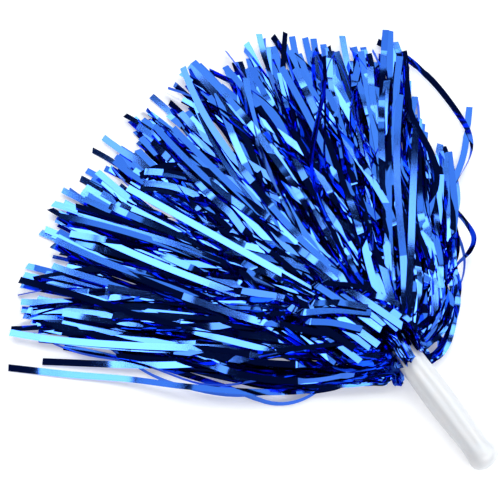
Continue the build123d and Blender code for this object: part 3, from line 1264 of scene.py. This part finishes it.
# Panels over the object, in metres: name, place to the right and behind, size, brightness and colour
PANELS = (
    ("key_panel", (-0.53, 0.53), (0.28, 1.06), 4.5, WHITE),
    ("strip_panel", (0.07, 0.51), (0.54, 0.22), 4.4, WHITE),
    ("slit_panel", (-0.29, 0.50), (0.16, 0.14), 4.4, WHITE),
    ("left_panel", (-1.05, 0.45), (0.50, 1.10), 2.4, WHITE),
    ("near_panel", (0.09, 0.16), (0.42, 0.44), 3.6, WHITE),
    ("top_panel", (0.04, 1.00), (0.62, 0.66), 1.15, COOL),
    ("top_left_panel", (-0.32, 0.80), (0.10, 0.40), 1.15, COOL),
    ("right_panel", (0.72, 0.90), (0.70, 0.40), 3.6, WHITE),
    ("far_panel", (0.32, 1.78), (0.56, 0.80), 3.6, WHITE),
    ("far_left_panel", (-0.73, 1.39), (0.74, 0.54), 1.20, COOL),
    ("side_panel", (0.80, 0.22), (0.90, 0.80), 1.20, COOL),
    ("front_panel", (0.90, -1.40), (1.80, 1.40), 3.6, WHITE),
    ("far_right_panel", (2.00, 0.40), (1.20, 2.20), 2.6, WHITE),
)


# Half the side of the floor, its gloss and its own faint glow, the dim light of the room, and the point
# over the floor that the camera looks at
FLOOR_HALF = 3.0
FLOOR_ROUGHNESS = 0.32
FLOOR_GLOW = 0.28
ROOM_COLOUR = (0.30, 0.42, 1.0)
ROOM_LEVEL = 0.040
CAMERA_TARGET = Vector((-0.0102, 0.0451, 0.015))


def build_stage():
    """A wide pale floor, a dim room with soft light panels over the object, and the camera."""
    settings = bpy.context.scene.pom_stage
    mesh = bpy.data.meshes.new("floor")
    corners = [(x * FLOOR_HALF, y * FLOOR_HALF, 0) for x, y in ((-1, -1), (1, -1), (1, 1), (-1, 1))]
    mesh.from_pydata(corners, [], [(0, 1, 2, 3)])
    floor = bpy.data.objects.new("floor", mesh)
    material, _, shader, _ = new_material("pale_floor")
    shader.inputs["Base Color"].default_value = (*settings.floor_colour, 1.0)
    shader.inputs["Roughness"].default_value = FLOOR_ROUGHNESS
    shader.inputs["Emission Color"].default_value = (1.0, 1.0, 1.0, 1.0)
    shader.inputs["Emission Strength"].default_value = FLOOR_GLOW
    mesh.materials.append(material)
    bpy.context.scene.collection.objects.link(floor)
    centre = 0.5 * (Vector(CAD_BOX[0]) + Vector(CAD_BOX[1]))
    centre.z = CAMERA_TARGET.z
    for name, *light in PANELS:
        panel(name, centre, *light)
    world = bpy.data.worlds.new("dim_room")
    world.use_nodes = True
    background = world.node_tree.nodes["Background"]
    background.inputs["Color"].default_value = (*ROOM_COLOUR, 1.0)
    background.inputs["Strength"].default_value = ROOM_LEVEL
    scene = bpy.context.scene
    scene.world = world
    scene.view_settings.view_transform = "Standard"
    camera = bpy.data.objects.new("camera", bpy.data.cameras.new("camera"))
    camera.data.lens = settings.lens
    a, e = settings.azimuth, settings.elevation
    towards = Vector((math.sin(a) * math.cos(e), -math.cos(a) * math.cos(e), math.sin(e)))
    aim(camera, CAMERA_TARGET + towards * settings.distance, CAMERA_TARGET)
    scene.collection.objects.link(camera)
    scene.camera = camera


# ---------------------------------------------------------------------------------------------
# Operators, panel and main
# ---------------------------------------------------------------------------------------------


class POM_OT_stage(bpy.types.Operator):
    """Makes the floor, the lights and the camera"""

    bl_idname = "pom.stage"
    bl_label = "Stage"

    def execute(self, context):
        build_stage()
        return {"FINISHED"}


class POM_OT_handle(bpy.types.Operator):
    """Makes the frosted handle"""

    bl_idname = "pom.handle"
    bl_label = "Handle"

    def execute(self, context):
        build_handle()
        return {"FINISHED"}


class POM_OT_root(bpy.types.Operator):
    """Gives the pieces packed in the handle's mouth their finishes"""

    bl_idname = "pom.root"
    bl_label = "Foil root"

    def execute(self, context):
        slots = {s["node"]: s["material_slot"] for s in frame["record"]["subparts"]}
        for node in frame["record"]["behaviour"]["bodies"]["handle"]:
            if node == "handle_shell":
                continue
            made = frame["nodes"][node]
            made.data.materials.clear()
            made.data.materials.append(finish(slots[node]))
        return {"FINISHED"}


class POM_OT_floor_locks(bpy.types.Operator):
    """Makes the streamers of the lowest layer"""

    bl_idname = "pom.floor_locks"
    bl_label = "Floor streamers"

    def execute(self, context):
        build_layer("floor", context.scene.pom_foil.floor_count, 100)
        return {"FINISHED"}


class POM_OT_middle_locks(bpy.types.Operator):
    """Makes the streamers of the middle layer"""

    bl_idname = "pom.middle_locks"
    bl_label = "Middle streamers"

    def execute(self, context):
        build_layer("middle", context.scene.pom_foil.middle_count, 200)
        return {"FINISHED"}


class POM_OT_crown_locks(bpy.types.Operator):
    """Makes the streamers of the top layer"""

    bl_idname = "pom.crown_locks"
    bl_label = "Crown streamers"

    def execute(self, context):
        build_layer("crown", context.scene.pom_foil.crown_count, 300)
        return {"FINISHED"}


class POM_OT_strays(bpy.types.Operator):
    """Makes the streamers that lie apart from the fan"""

    bl_idname = "pom.strays"
    bl_label = "Stray streamers"

    def execute(self, context):
        for number, (node, (routes, rolls)) in enumerate(STRAYS.items()):
            build_stray(node, routes, rolls, 400 + number)
        return {"FINISHED"}


class POM_OT_neck(bpy.types.Operator):
    """Makes the streamers folded back over the mouth and beside it"""

    bl_idname = "pom.neck"
    bl_label = "Folded streamers"

    def execute(self, context):
        for number, node in enumerate(FOLDS):
            build_fold_back(node, 510 + number)
        build_neck(500)
        return {"FINISHED"}


STEPS = (
    POM_OT_stage, POM_OT_handle, POM_OT_root, POM_OT_floor_locks, POM_OT_middle_locks,
    POM_OT_crown_locks, POM_OT_strays, POM_OT_neck,
)


class POM_PT_panel(bpy.types.Panel):
    """Lists the steps and the settings"""

    bl_idname = "POM_PT_panel"
    bl_label = "Pom Pom"
    bl_space_type = "VIEW_3D"
    bl_region_type = "UI"
    bl_category = "Pom Pom"

    def draw(self, context):
        for step in STEPS:
            self.layout.operator(step.bl_idname)
        for group in (context.scene.pom_handle, context.scene.pom_foil, context.scene.pom_stage):
            box = self.layout.box()
            for label in group.__annotations__:
                box.prop(group, label)


SETTINGS = {"pom_handle": HandleSettings, "pom_foil": FoilSettings, "pom_stage": StageSettings}


def register():
    """Registers the settings, the operators and the panel."""
    for name, group in SETTINGS.items():
        bpy.utils.register_class(group)
        setattr(bpy.types.Scene, name, bpy.props.PointerProperty(type=group))
    for step in (*STEPS, POM_PT_panel):
        bpy.utils.register_class(step)


def unregister():
    """Takes away what register() added."""
    for step in reversed((*STEPS, POM_PT_panel)):
        bpy.utils.unregister_class(step)
    for name, group in SETTINGS.items():
        delattr(bpy.types.Scene, name)
        bpy.utils.unregister_class(group)


def main():
    """Builds every piece in order."""
    register()
    for step in STEPS:
        area, name = step.bl_idname.split(".")
        getattr(getattr(bpy.ops, area), name)()


if __name__ == "__main__":
    main()
